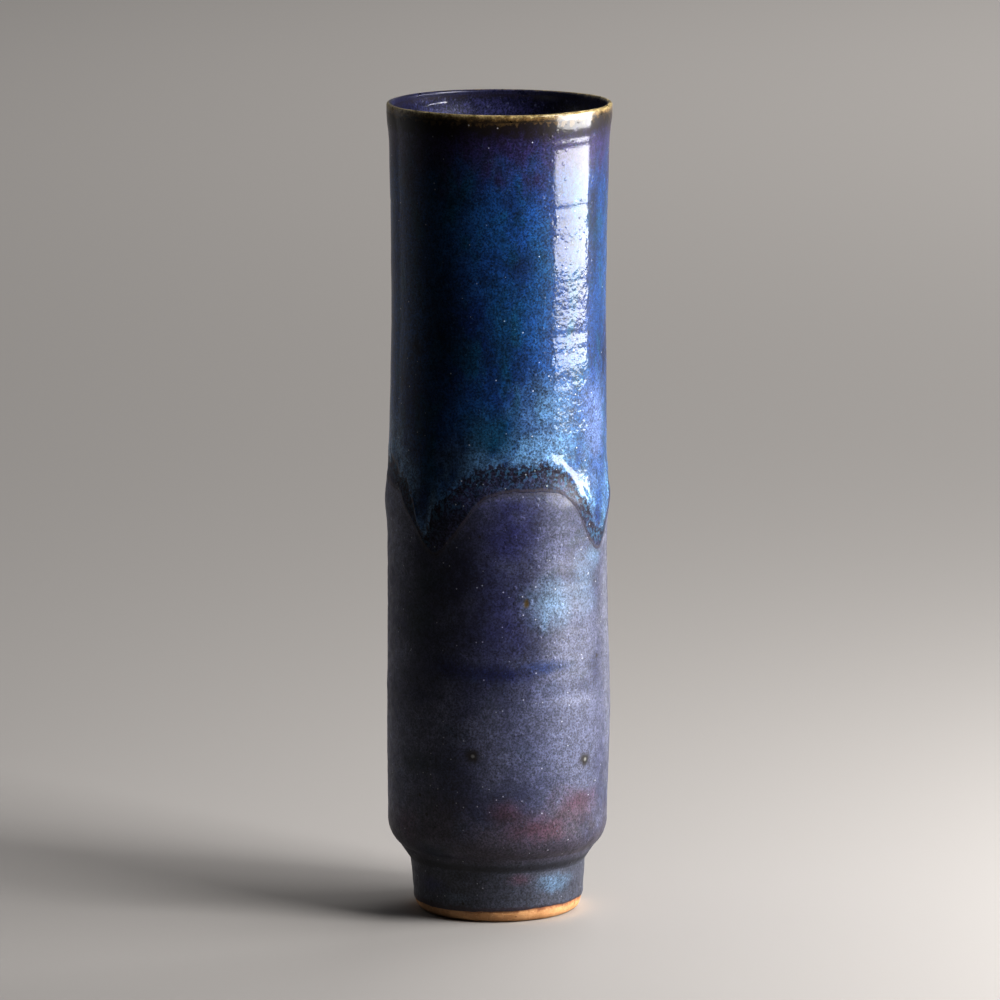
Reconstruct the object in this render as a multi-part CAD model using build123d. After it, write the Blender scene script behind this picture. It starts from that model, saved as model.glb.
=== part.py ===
from build123d import *
import os
from math import cos, radians, sin, sqrt

# A tall stoneware vase, thrown on a wheel in two sections that are luted together with slip at the
# ridge round its middle, on a separate thrown foot ring, then glazed in several coats.
# Millimetres. +Z is the vase's axis and points up. The origin is on the axis, where the vase stands.

# Overall form, measured to the glazed surface.
HEIGHT = 300.0
LIP_RADIUS = 41.2  # outside of the lip
LIP_ROUND = 1.0  # half the thickness of the rounded lip
WAIST_RADIUS = 39.35
RIDGE_RADIUS = 42.0
RIDGE_HEIGHT = 155.0
BELLY_RADIUS = 41.15
SHOULDER_RADIUS = 40.5
SHOULDER_HEIGHT = 34.0  # where the wall starts to turn in
SHOULDER_ROUND = 12.0
FOOT_TOP_RADIUS = 32.4
FOOT_BOTTOM_RADIUS = 31.1
INSIDE_RADIUS = 35.5
INSIDE_FLOOR = 23.0
INSIDE_CORNER = 12.0

# Bare clay underneath.
CONTACT_RADIUS = 26.5  # outer edge of the flat that stands on the table
FOOT_BORE = 22.4  # inside radius of the foot ring
FOOT_BORE_ROUND = 1.0
BOSS_RADIUS = 21.8  # turned boss under the floor, which the foot ring fits round
BOSS_HEIGHT = 15.5  # underside of the boss, above the table

# Glaze coats.
UPPER_COAT = 0.7
LOWER_COAT = 0.6
LINER_COAT = 0.5
RIM_COAT = 0.25  # the glaze runs thin over the lip
RIM_COAT_OUTSIDE = HEIGHT - 3.0  # where the thin coat ends, outside and inside
RIM_COAT_INSIDE = HEIGHT - 2.0
GLAZE_FOOT_LINE = 4.6  # the lower coat stops here, above bare clay
PILE_UP = 0.4  # the coats stand this much prouder where they overlap

# Luted joints: a scored ridge on one piece presses into a groove in the other.
KEY_HEIGHT = 1.4
KEY_HALF_WIDTH = 1.2

# The outer wall from the lip down, as (height, glazed radius, glaze thickness).
WALL = [
    (RIM_COAT_OUTSIDE, LIP_RADIUS, RIM_COAT),
    (278.0, 40.1, UPPER_COAT),
    (223.0, WAIST_RADIUS, UPPER_COAT),
    (190.0, 39.7, UPPER_COAT),
    (168.0, 40.3, UPPER_COAT),
    (RIDGE_HEIGHT, RIDGE_RADIUS, UPPER_COAT),
    (141.0, 40.6, LOWER_COAT),
    (110.0, 40.65, LOWER_COAT),
    (70.0, BELLY_RADIUS, LOWER_COAT),
    (SHOULDER_HEIGHT, SHOULDER_RADIUS, LOWER_COAT),
]

# The inner wall from the lip down, likewise.
INSIDE = [
    (RIM_COAT_INSIDE, LIP_RADIUS - 2.0 * LIP_ROUND, RIM_COAT),
    (290.0, 38.0, LINER_COAT),
    (272.0, 36.7, LINER_COAT),
    (240.0, 35.9, LINER_COAT),
    (200.0, 35.6, LINER_COAT),
    (INSIDE_FLOOR + INSIDE_CORNER, INSIDE_RADIUS, LINER_COAT),
]

# The scalloped line where the poured upper coat ends: the angle and height of each low point, and the
# height of the crest that follows it. Angle 0 is the front, -Y, and 90 degrees is +X.
SCALLOPS = [
    (-35.0, 138.0, 162.0),
    (66.0, 137.0, 159.0),
    (152.0, 141.0, 163.0),
    (238.0, 139.5, 161.0),
]
BAND_AT_LOW = 7.0  # height of the overlap band at a low point, and at a crest
BAND_AT_CREST = 11.0
SHARES = [0.0, 0.08, 0.17, 0.3, 0.5, 0.7, 0.83, 0.92]  # of the way from one low point to the next

DOWN = (0, 0, -1)


def at(radius, height):
    """A point of a section, drawn in the XZ plane."""
    return (radius, 0, height)


def spun(*edges):
    """The solid of revolution of a closed section."""
    return Solid.revolve(Face(Wire(edges)), 360, Axis.Z)


def spun_polygon(*points):
    ends = points[1:] + points[:1]
    return spun(*[Line(at(*a), at(*b)) for a, b in zip(points, ends)])


def clay_wall():
    """The clay's outer line, under the glaze."""
    points = [at(radius - coat, height) for height, radius, coat in WALL]
    return Spline(points, tangents=[DOWN, DOWN])


def glazed_wall(proud=0.0):
    """The glaze's outer line, or a line proud of it."""
    points = [at(radius + proud, height) for height, radius, coat in WALL]
    return Spline(points, tangents=[DOWN, DOWN])


def inner_wall(share):
    """The inner line: of the clay at share 1, of the glaze over it at share 0."""
    points = [at(radius + coat * share, height) for height, radius, coat in INSIDE]
    return Spline(points, tangents=[DOWN, DOWN])


def arc(centre, radius, start, end):
    """An arc of a section between two angles, in degrees from outwards, positive upwards."""
    points = []
    for angle in (start, (start + end) / 2, end):
        turned = radians(angle)
        points.append(at(centre[0] + radius * cos(turned), centre[1] + radius * sin(turned)))
    return ThreePointArc(*points)


def shoulder(depth):
    """The shoulder's rounding and its 45 degree underside down to the neck, depth under the glaze."""
    centre = (SHOULDER_RADIUS - SHOULDER_ROUND, SHOULDER_HEIGHT)
    turn_in = arc(centre, SHOULDER_ROUND - depth, 0, -45)
    neck = neck_height(depth)
    return [turn_in, Line(turn_in @ 1, at(FOOT_TOP_RADIUS - depth, neck))]


def neck_height(depth):
    """Where the shoulder's 45 degree underside meets the foot's wall, depth under the glaze."""
    fall = SHOULDER_RADIUS - SHOULDER_ROUND - SHOULDER_HEIGHT + (SHOULDER_ROUND - depth) * sqrt(2)
    return FOOT_TOP_RADIUS - depth - fall


def lip(depth):
    """The lip's rounding from outside to inside."""
    return arc((LIP_RADIUS - LIP_ROUND, HEIGHT - LIP_ROUND), LIP_ROUND - depth, 0, 180)


def inside_floor(depth):
    """The inside's rounded corner and its floor, to the axis."""
    centre = (INSIDE_RADIUS - INSIDE_CORNER, INSIDE_FLOOR + INSIDE_CORNER)
    corner = arc(centre, INSIDE_CORNER + depth, 0, -90)
    return [corner, Line(corner @ 1, at(0, INSIDE_FLOOR - depth))]


def clay_body():
    """All the clay, before it is parted into the pieces it was made from."""
    wall = clay_wall()
    inner = inner_wall(1)
    rim = lip(RIM_COAT)
    glaze_line = at(FOOT_BOTTOM_RADIUS - LOWER_COAT, GLAZE_FOOT_LINE)
    neck = at(FOOT_TOP_RADIUS - LOWER_COAT, neck_height(LOWER_COAT))
    bevel = Spline(
        [glaze_line, at(CONTACT_RADIUS + 2.9, 1.45), at(CONTACT_RADIUS, 0)],
        tangents=[(-0.15, 0, -1), (-1, 0, -0.12)],
    )
    ring_round = arc((FOOT_BORE + FOOT_BORE_ROUND, FOOT_BORE_ROUND), FOOT_BORE_ROUND, -90, -180)
    return spun(
        wall,
        *shoulder(LOWER_COAT),
        Line(neck, glaze_line),
        bevel,
        Line(bevel @ 1, ring_round @ 0),
        ring_round,
        Line(ring_round @ 1, at(BOSS_RADIUS, BOSS_HEIGHT)),
        Line(at(BOSS_RADIUS, BOSS_HEIGHT), at(0, BOSS_HEIGHT)),
        Line(at(0, BOSS_HEIGHT), at(0, INSIDE_FLOOR - LINER_COAT)),
        *inside_floor(LINER_COAT),
        inner,
        Line(inner @ 0, rim @ 1),
        rim,
        Line(rim @ 0, wall @ 0),
    )


def joint_key(inner, outer, height):
    """The key of a luted joint, in the middle of a ring, as section points from inside to outside."""
    middle = (inner + outer) / 2
    return [
        (middle - KEY_HALF_WIDTH, height),
        (middle, height + KEY_HEIGHT),
        (middle + KEY_HALF_WIDTH, height),
    ]


def foot_tool():
    """The space of the foot ring: round the boss, up to the neck."""
    seat = neck_height(LOWER_COAT)
    key = joint_key(BOSS_RADIUS, FOOT_TOP_RADIUS, seat)
    beyond = FOOT_TOP_RADIUS + 5
    return spun_polygon((BOSS_RADIUS, -1), (BOSS_RADIUS, seat), *key, (beyond, seat), (beyond, -1))


def upper_tool():
    """The space above the seam between the two thrown sections."""
    key = joint_key(INSIDE_RADIUS, RIDGE_RADIUS, RIDGE_HEIGHT)
    beyond = RIDGE_RADIUS + 5
    above = HEIGHT + 5
    return spun_polygon((0, RIDGE_HEIGHT), *key, (beyond, RIDGE_HEIGHT), (beyond, above), (0, above))


def scallop_points(radius, band):
    """Points of the scalloped line at a radius, raised by the overlap band's height times band."""
    points = []
    for index, (angle, low, crest) in enumerate(SCALLOPS):
        following = SCALLOPS[(index + 1) % len(SCALLOPS)]
        step = (following[0] - angle) % 360
        for share in SHARES:
            side = low if share < 0.5 else following[1]
            across = sin(radians(180 * share))
            rise = across**2 * (3 - 2 * across)
            height = side + (crest - side) * rise
            height += band * (BAND_AT_LOW + (BAND_AT_CREST - BAND_AT_LOW) * rise)
            turned = radians(angle + step * share)
            points.append((radius * sin(turned), -radius * cos(turned), height))
    return points


def above_scallops(band):
    """The space above the scalloped line, ruled straight through the wall."""
    inner = Spline(scallop_points(SHOULDER_RADIUS - 5, band), periodic=True)
    outer = Spline(scallop_points(SHOULDER_RADIUS + 5, band), periodic=True)
    return Solid.extrude(Face.make_surface_from_curves(inner, outer), Vector(0, 0, HEIGHT))


def outer_coat(proud=0.0):
    """The whole outer coat from the thin rim coat down to the foot."""
    clay = clay_wall()
    glaze = glazed_wall(proud)
    clay_neck = at(FOOT_TOP_RADIUS - LOWER_COAT, neck_height(LOWER_COAT))
    glaze_neck = at(FOOT_TOP_RADIUS + proud, neck_height(-proud))
    clay_foot = at(FOOT_BOTTOM_RADIUS - LOWER_COAT, GLAZE_FOOT_LINE)
    glaze_foot = at(FOOT_BOTTOM_RADIUS + proud, GLAZE_FOOT_LINE)
    return spun(
        glaze,
        *shoulder(-proud),
        Line(glaze_neck, glaze_foot),
        Line(glaze_foot, clay_foot),
        Line(clay_foot, clay_neck),
        *shoulder(LOWER_COAT),
        clay,
        Line(clay @ 0, glaze @ 0),
    )


def foot_ring():
    return clay_body() & foot_tool()


def lower_section():
    return clay_body() - foot_tool() - upper_tool()


def upper_section():
    return clay_body() & upper_tool()


def liner_glaze():
    clay = inner_wall(1)
    glaze = inner_wall(0)
    return spun(
        clay,
        *inside_floor(LINER_COAT),
        Line(at(0, INSIDE_FLOOR - LINER_COAT), at(0, INSIDE_FLOOR)),
        *inside_floor(0),
        glaze,
        Line(glaze @ 0, clay @ 0),
    )


def lower_glaze():
    return outer_coat() - above_scallops(0)


def overlap_glaze():
    return (outer_coat(PILE_UP) & above_scallops(0)) - above_scallops(1)


def upper_glaze():
    return outer_coat() & above_scallops(1)


def rim_glaze():
    clay = lip(RIM_COAT)
    glaze = lip(0)
    outside = at(LIP_RADIUS, RIM_COAT_OUTSIDE)
    outside_clay = at(LIP_RADIUS - RIM_COAT, RIM_COAT_OUTSIDE)
    inner_radius = LIP_RADIUS - 2 * LIP_ROUND
    inside = at(inner_radius, RIM_COAT_INSIDE)
    inside_clay = at(inner_radius + RIM_COAT, RIM_COAT_INSIDE)
    return spun(
        Line(outside_clay, outside),
        Line(outside, glaze @ 0),
        glaze,
        Line(glaze @ 1, inside),
        Line(inside, inside_clay),
        Line(inside_clay, clay @ 1),
        clay,
        Line(clay @ 0, outside_clay),
    )


PIECES = [
    foot_ring,
    lower_section,
    upper_section,
    liner_glaze,
    lower_glaze,
    overlap_glaze,
    upper_glaze,
    rim_glaze,
]

os.makedirs("parts", exist_ok=True)
for piece in PIECES:
    export_step(piece(), f"parts/{piece.__name__}.step")
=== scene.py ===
"""A tall wheel-thrown stoneware vase: dense turned surfaces and layered glazes round the packed clay."""
from math import cos, pi, radians, sin, sqrt, tau

import bpy
import numpy as np
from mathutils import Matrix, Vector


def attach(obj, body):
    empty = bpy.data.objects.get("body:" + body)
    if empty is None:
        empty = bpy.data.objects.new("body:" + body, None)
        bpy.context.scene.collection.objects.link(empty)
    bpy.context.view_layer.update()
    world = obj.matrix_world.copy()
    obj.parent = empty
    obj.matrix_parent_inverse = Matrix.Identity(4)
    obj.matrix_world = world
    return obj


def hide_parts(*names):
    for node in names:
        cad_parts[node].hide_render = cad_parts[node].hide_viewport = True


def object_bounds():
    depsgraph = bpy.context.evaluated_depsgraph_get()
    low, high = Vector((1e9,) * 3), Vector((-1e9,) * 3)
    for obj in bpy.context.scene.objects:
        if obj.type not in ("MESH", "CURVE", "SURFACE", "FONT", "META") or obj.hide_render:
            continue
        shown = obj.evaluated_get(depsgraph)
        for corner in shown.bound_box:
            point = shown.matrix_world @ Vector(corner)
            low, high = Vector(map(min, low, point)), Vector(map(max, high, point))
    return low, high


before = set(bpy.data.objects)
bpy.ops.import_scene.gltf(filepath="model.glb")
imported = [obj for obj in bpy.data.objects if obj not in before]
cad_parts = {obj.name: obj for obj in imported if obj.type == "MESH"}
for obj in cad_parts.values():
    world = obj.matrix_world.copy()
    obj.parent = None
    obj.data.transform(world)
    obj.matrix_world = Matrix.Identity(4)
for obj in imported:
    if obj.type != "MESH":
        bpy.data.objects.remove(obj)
cad_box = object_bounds()

# ---------------------------------------------------------------- sizes, in millimetres
MM = 0.001  # metres
HEIGHT = round(cad_box[1].z / MM)
LIP_RADIUS = 41.2
LIP_ROUND = 1.0
SHOULDER_RADIUS = 40.5
SHOULDER_HEIGHT = 34.0
SHOULDER_ROUND = 12.0
FOOT_TOP_RADIUS = 32.4
FOOT_BOTTOM_RADIUS = 31.1
CONTACT_RADIUS = 26.5
FOOT_BORE = 22.4
FOOT_BORE_ROUND = 1.0
BOSS_RADIUS = 21.8
BOSS_HEIGHT = 15.5
INSIDE_RADIUS = 35.5
INSIDE_FLOOR = 23.0
INSIDE_CORNER = 12.0
RIDGE_HEIGHT = 155.0
NECK_HEIGHT = 20.5  # where the shoulder's underside meets the foot
GLAZE_FOOT_LINE = 4.6  # about where the lower glaze stops above the bare clay
COAT = 0.5  # thickness of a modelled glaze shell
RIM_LINE = HEIGHT - 3.0  # the thin tan coat over the lip, outside and inside
RIM_LINE_INSIDE = HEIGHT - 2.0

# Outer and inner wall, as (height, glazed radius).
WALL = [(34, 40.5), (70, 41.15), (110, 40.65), (136, 40.45), (146, 40.7), (155, 41.4), (163, 40.45),
        (172, 39.95), (190, 39.65), (207, 39.4), (223, 39.2), (240, 39.3), (264, 39.65), (277, 40.0),
        (289, 40.45), (RIM_LINE, LIP_RADIUS)]
INSIDE = [(35, 35.5), (200, 35.6), (240, 35.9), (272, 36.7), (290, 38.0), (RIM_LINE_INSIDE, 39.2)]

# The thrown axis wanders a little: (height, shift towards +X).
LEAN = [(0, 0), (34, -0.3), (80, 0.1), (122, -0.35), (155, -0.35), (200, 0.1), (250, 0.3), (300, 0.45)]

COLUMNS = 480  # round the vase
EDGE = 130.0  # below this height the rows are level, above it they stretch to the scalloped line
angles = np.arange(COLUMNS) * tau / COLUMNS  # 0 is the front, -Y, and a quarter turn is +X


# ---------------------------------------------------------------- outlines
def smooth_line(points):
    """A cubic spline through (height, radius) points, upright at both ends, as a function of height."""
    height, radius = np.array(points, float).T
    gap = np.diff(height)
    system = np.eye(len(height))
    right = np.zeros(len(height))
    for i in range(1, len(height) - 1):
        system[i, i - 1 : i + 2] = [1 / gap[i - 1], 2 / gap[i - 1] + 2 / gap[i], 1 / gap[i]]
        before = (radius[i] - radius[i - 1]) / gap[i - 1] ** 2
        after = (radius[i + 1] - radius[i]) / gap[i] ** 2
        right[i] = 3 * (before + after)
    slope = np.linalg.solve(system, right)

    def line(z):
        i = np.clip(np.searchsorted(height, z) - 1, 0, len(gap) - 1)
        t = np.clip((z - height[i]) / gap[i], 0, 1)
        rest = 1 - t
        value = radius[i] * rest**2 * (1 + 2 * t) + radius[i + 1] * t**2 * (3 - 2 * t)
        return value + gap[i] * t * rest * (slope[i] * rest - slope[i + 1] * t)

    return line


upper_wall = smooth_line(WALL)
inner_wall = smooth_line(INSIDE)
lean = smooth_line(LEAN)


def smooth_most(a, b, softness):
    """The larger of two values, with the corner between them rounded."""
    share = np.clip(0.5 + (a - b) / (2 * softness), 0, 1)
    return b + (a - b) * share + softness * share * (1 - share)


def outer_radius(z):
    """The glazed outline's radius at a height, from the foot to the lip's upright face."""
    centre = SHOULDER_RADIUS - SHOULDER_ROUND
    turn_end = SHOULDER_HEIGHT - SHOULDER_ROUND * sin(radians(45))
    drop = np.clip(SHOULDER_HEIGHT - z, 0, SHOULDER_ROUND * sin(radians(45)))
    rounding = centre + np.sqrt(SHOULDER_ROUND**2 - drop**2)
    underside = rounding - np.clip(turn_end - z, 0, None)
    foot_slope = (FOOT_TOP_RADIUS - FOOT_BOTTOM_RADIUS) / (NECK_HEIGHT - GLAZE_FOOT_LINE)
    foot = FOOT_TOP_RADIUS + (np.minimum(z, NECK_HEIGHT + 2) - NECK_HEIGHT) * foot_slope
    low = smooth_most(underside, foot, 0.9)
    return np.where(z < SHOULDER_HEIGHT, low, upper_wall(z))


def inside_radius(z):
    """The inner wall's radius at a height above the floor's rounding."""
    return inner_wall(np.maximum(z, INSIDE_FLOOR + INSIDE_CORNER))


# ---------------------------------------------------------------- uneven hand work
def grid_noise(phi, z, size, seed, waves=40):
    """Smooth random relief round the vase, about -1 to 1, with features of a size in millimetres."""
    random = np.random.default_rng(seed)
    total = np.zeros(np.broadcast(phi, z).shape)
    for _ in range(waves):
        turn = random.uniform(0, tau)
        number = tau / (size * random.uniform(0.75, 1.5))
        around = round(number * cos(turn) * SHOULDER_RADIUS)
        total += np.cos(around * phi + number * sin(turn) * z + random.uniform(0, tau))
    return total / sqrt(waves)


def wander(phi, seed, slowest, fastest, fall):
    """A random closed curve round the vase, about -1 to 1, made of whole waves."""
    random = np.random.default_rng(seed)
    total = np.zeros_like(phi)
    weight = 0.0
    for count in range(slowest, fastest + 1):
        size = 1.0 / count**fall
        total += size * np.cos(count * phi + random.uniform(0, tau))
        weight += size**2
    return total / sqrt(2 * weight) * 1.2


def throwing_rings(phi, z, seed):
    """Shallow finger rings that climb the wall in a spiral, in millimetres of relief."""
    random = np.random.default_rng(seed)
    total = 0.0
    for pitch, depth in ((5.3, 0.018), (8.3, 0.034), (12.9, 0.045), (21.0, 0.05)):
        phase = random.uniform(0, tau) + phi + 0.5 * np.sin(phi + random.uniform(0, tau))
        strength = 0.7 + 0.5 * np.sin(tau * z / (pitch * 4.3) + random.uniform(0, tau))
        total = total + depth * strength * np.sin(tau * z / pitch + phase)
    return total


def step(value, low, high):
    """0 below low, 1 above high and smooth between."""
    t = np.clip((value - low) / (high - low), 0, 1)
    return t * t * (3 - 2 * t)


# ---------------------------------------------------------------- the scalloped glaze line
def scallops(phi, lows):
    """Heights of a line of scallops: each of lows is (angle, height there, height of the next crest)."""
    heights = np.zeros_like(phi)
    for index, (angle, low, crest) in enumerate(lows):
        after = lows[(index + 1) % len(lows)]
        width = (after[0] - angle) % 360
        share = ((np.degrees(phi) - angle) % 360) / width
        across = np.sin(pi * np.clip(share, 0, 1))
        rise = across**2 * (3 - 2 * across)
        side = np.where(share < 0.5, low, after[1])
        heights = np.where(share <= 1, side + (crest - side) * rise, heights)
    return heights


def drips(phi, runs):
    """How far tongues of glaze run down: each is (angle, half width in degrees, length)."""
    total = np.zeros_like(phi)
    for angle, half_width, length in runs:
        away = (np.degrees(phi) - angle + 180) % 360 - 180
        total = total + length * np.exp(-((np.abs(away) / half_width) ** 2.6))
    return total


LOWER_LINE = [(-35, 138, 162), (66, 137, 159), (152, 141, 163), (238, 139.5, 161)]
UPPER_LINE = [(-40, 154, 171), (64, 150, 167), (152, 153, 174), (238, 151, 170)]
RUNS = [(-41, 5, 10), (60, 6, 5), (72, 6, 8), (92, 2.5, 3), (112, 2, 2), (148, 4, 7), (158, 3, 5),
        (190, 2, 3), (233, 5, 8), (243, 3, 5), (262, 2.5, 3), (283, 2, 2), (-62, 2.5, 2.5),
        (10, 2, 1.2), (47, 2.5, 1.2)]
BAND_LEAST = 3.5  # the band between the lines is at least this tall


def lower_line(phi):
    """Where the upper glaze ends on the lower one."""
    return scallops(phi, LOWER_LINE) + 0.6 * wander(phi, 3, 9, 60, 0.8)


def upper_line(phi):
    """The rolled edge of the thick upper glaze, at the top of the overlap band."""
    line = scallops(phi, UPPER_LINE) - drips(phi, RUNS) + 0.55 * wander(phi, 4, 12, 90, 0.7)
    return np.maximum(line, lower_line(phi) + BAND_LEAST)


def foot_line(phi):
    """Where the lower glaze stops above the bare clay."""
    return 4.9 + 0.9 * np.sin(phi - 0.35) + 0.22 * wander(phi, 5, 3, 60, 0.8)


IRON_SPOTS = [(-13, 64.6), (51, 60.6)]  # (angle, height)
OCHRE_PIT = (14.8, 121)

# Blisters (up) and pinholes (down) in the outer glaze: (angle, height, radius, relief).
MARKS = [(-13, 64.6, 1.6, 0.13), (51, 60.6, 1.5, 0.12), (*OCHRE_PIT, 1.2, -0.22), (14.5, 12.9, 1.3, -0.25),
         (43.1, 146.3, 1.0, 0.10), (12.2, 136.6, 1.1, 0.14), (10.1, 182, 1.5, -0.2), (-9.2, 215, 1.2, 0.10),
         (-4.1, 233.4, 1.1, -0.12), (10.1, 92.2, 1.0, 0.1), (21, 129, 1.0, -0.12), (2, 226, 1.3, -0.12)]


def scattered_marks():
    """The marks above and many more, placed at random."""
    random = np.random.default_rng(11)
    marks = list(MARKS)
    for _ in range(110):
        relief = random.choice([0.07, 0.1, -0.08, -0.14])
        marks.append((random.uniform(0, 360), random.uniform(8, 290), random.uniform(0.7, 1.2), relief))
    return marks


ALL_MARKS = scattered_marks()

# Separate rings left by a finger in the glossy wall: (height, half height, relief).
FINGER_RINGS = [(290.5, 1.2, -0.090), (286.8, 1.0, -0.050), (264.6, 1.2, -0.070), (242.5, 5.0, 0.105),
                (218.5, 1.2, -0.050), (205.0, 6.0, 0.060)]


def hump(distance, half_width):
    """1 at no distance, falling smoothly to nothing on both sides."""
    return np.exp(-((distance / half_width) ** 2))


def outer_relief(phi, z):
    """How far the glazed surface stands off its outline, in millimetres."""
    relief = (0.75 - 0.5 * step(z, 150, 200)) * throwing_rings(phi, z, 7)
    climb = 1.2 * np.sin(phi - 0.72)  # the finger rings lie on a slant
    for height, half_height, rise in FINGER_RINGS:
        relief = relief + rise * hump(z - height - climb, half_height)

    # Out of round, with soft dents.
    relief = relief + 0.10 * np.cos(2 * phi + 0.6) * step(z, 40, 160) + 0.06 * np.cos(phi * 3 + z / 60)
    relief = relief + 0.03 * grid_noise(phi, z, 40, 21) + 0.010 * grid_noise(phi, z, 8, 22)

    # Orange peel, stronger below the smooth upper wall and just under the lip.
    peel = 0.005 + 0.007 * step(z, 266, 248) + 0.008 * step(z, HEIGHT - 14, HEIGHT - 10)
    relief = relief + peel * grid_noise(phi, z, 2.6, 23, 60)

    # The step of the upper coat over the lower one, the roll at its thick edge, and the beads at both ends.
    above_low = z - lower_line(phi)
    above_high = z - upper_line(phi)
    relief = relief + 0.16 * step(above_low, -0.6, 2.0)
    thick = 0.22 + 0.12 * np.cos(phi - 0.8) + 0.07 * wander(phi, 31, 4, 30, 0.6)
    relief = relief + thick * hump(above_high - 2.2, 2.2)
    relief = relief + 0.05 * hump(above_low - 1.2, 1.2)
    relief = relief + 0.16 * hump(z - foot_line(phi) - 0.9, 0.9)

    for angle, height, size, rise in ALL_MARKS:
        across = ((np.degrees(phi) - angle + 180) % 360 - 180) * radians(SHOULDER_RADIUS)
        relief = relief + rise * np.exp(-(across**2 + (z - height) ** 2) / (size * 0.75) ** 2)
    return relief * (1 - 0.75 * step(z, HEIGHT - 12, HEIGHT - 3))


def outer_surface(phi, z):
    """The glazed surface's radius at an angle and a height."""
    return outer_radius(z) + outer_relief(phi, z)


# ---------------------------------------------------------------- meshes
def turned(name, radius, height, columns, closed=True):
    """Spins a mesh from rings of radius and height round the thrown axis. An open one ends on the axis."""
    radius, height = np.broadcast_arrays(radius, height)
    rings = len(radius)
    phi = np.arange(columns) * tau / columns
    points = np.stack([lean(height) + radius * np.sin(phi), -radius * np.cos(phi), height], -1)
    points = points.reshape(-1, 3)
    ring = np.arange(rings if closed else rings - 1)[:, None]
    column = np.arange(columns)[None, :]
    after, beside = (ring + 1) % rings, (column + 1) % columns
    here, next_ring = ring * columns, after * columns
    corners = [here + column, here + beside, next_ring + beside, next_ring + column]
    faces = np.stack(corners, -1).reshape(-1, 4).tolist()
    if not closed:
        first, last = len(points), len(points) + 1
        ends = [[float(lean(z)), 0, z] for z in (height[0].mean(), height[-1].mean())]
        points = np.vstack([points, ends])
        top = (rings - 1) * columns
        faces += [[first, (c + 1) % columns, c] for c in range(columns)]
        faces += [[last, top + c, top + (c + 1) % columns] for c in range(columns)]
    mesh = bpy.data.meshes.new(name)
    mesh.from_pydata((points * MM).tolist(), [], faces)
    mesh.polygons.foreach_set("use_smooth", np.ones(len(mesh.polygons), bool))
    mesh.update()
    mesh.set_sharp_from_angle(angle=radians(38))
    piece = bpy.data.objects.new(name, mesh)
    bpy.context.scene.collection.objects.link(piece)
    return piece


def note_lines(piece):
    """Keeps each point's height above the two glaze lines, in millimetres, for the material."""
    count = len(piece.data.vertices)
    place = np.zeros(count * 3, np.float32)
    piece.data.vertices.foreach_get("co", place)
    x, y, z = place.reshape(-1, 3).T / MM
    phi = np.arctan2(x - lean(z), -y) % tau
    for name, line in (("above_lower_line", lower_line), ("above_upper_line", upper_line)):
        layer = piece.data.attributes.new(name, "FLOAT", "POINT")
        layer.data.foreach_set("value", (z - line(phi)).astype(np.float32))


def coat_shell(name, heights):
    """A glaze coat whose visible rows are at the given heights, bottom to top, with a plain hidden back."""
    phi = angles[None, :]
    front = outer_surface(phi, heights)
    every = 12 if len(heights) > 24 else 4
    back_rows = np.vstack([heights[:0:-every], heights[:1]])
    back = outer_radius(back_rows) - COAT
    piece = turned(name, np.vstack([front, back]), np.vstack([heights, back_rows]), COLUMNS)
    note_lines(piece)
    return piece


def between(low, high, rows):
    """Rows of heights from one line round the vase to another."""
    share = np.linspace(0, 1, rows)[:, None]
    return low + (high - low) * share


def level_heights(low, high, spacing):
    """Heights spaced evenly along the outline, so that the shoulder is as finely divided as the wall."""
    z = np.linspace(low, high, 2000)
    travel = np.concatenate([[0], np.cumsum(np.hypot(np.diff(outer_radius(z)), np.diff(z)))])
    count = int(travel[-1] / spacing)
    return np.interp(np.linspace(0, travel[-1], count), travel, z)


def join_rows(*parts):
    """Stacks blocks of rows, leaving out the row that each block shares with the one before."""
    return np.vstack([parts[0]] + [part[1:] for part in parts[1:]])


def make_lower_glaze():
    """The lower coat, from the foot line up to its scalloped top."""
    phi = angles[None, :]
    foot = between(foot_line(phi), np.full_like(phi, 12.0), 10)
    wall = level_heights(12.0, EDGE, 1.0)[:, None] + 0 * phi
    top = between(np.full_like(phi, EDGE), lower_line(phi), 32)
    return coat_shell("lower_coat", join_rows(foot, wall, top))


def make_overlap_glaze():
    """The band between the two scalloped lines."""
    phi = angles[None, :]
    return coat_shell("overlap_band", between(lower_line(phi), upper_line(phi), 17))


def make_upper_glaze():
    """The thick upper coat, from its rolled edge up to the rim."""
    phi = angles[None, :]
    level = 182.0
    bottom = between(upper_line(phi), np.full_like(phi, level), 44)
    wall = level_heights(level, RIM_LINE, 1.0)[:, None] + 0 * phi
    return coat_shell("upper_coat", join_rows(bottom, wall))


def lip_rings(depth, rows=18):
    """The lip's rounding from outside to inside, as (radius, height) columns."""
    turn = np.linspace(0, pi, rows)
    radius = LIP_RADIUS - LIP_ROUND + (LIP_ROUND - depth) * np.cos(turn)
    height = HEIGHT - LIP_ROUND + (LIP_ROUND - depth) * np.sin(turn)
    return radius, height


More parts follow.
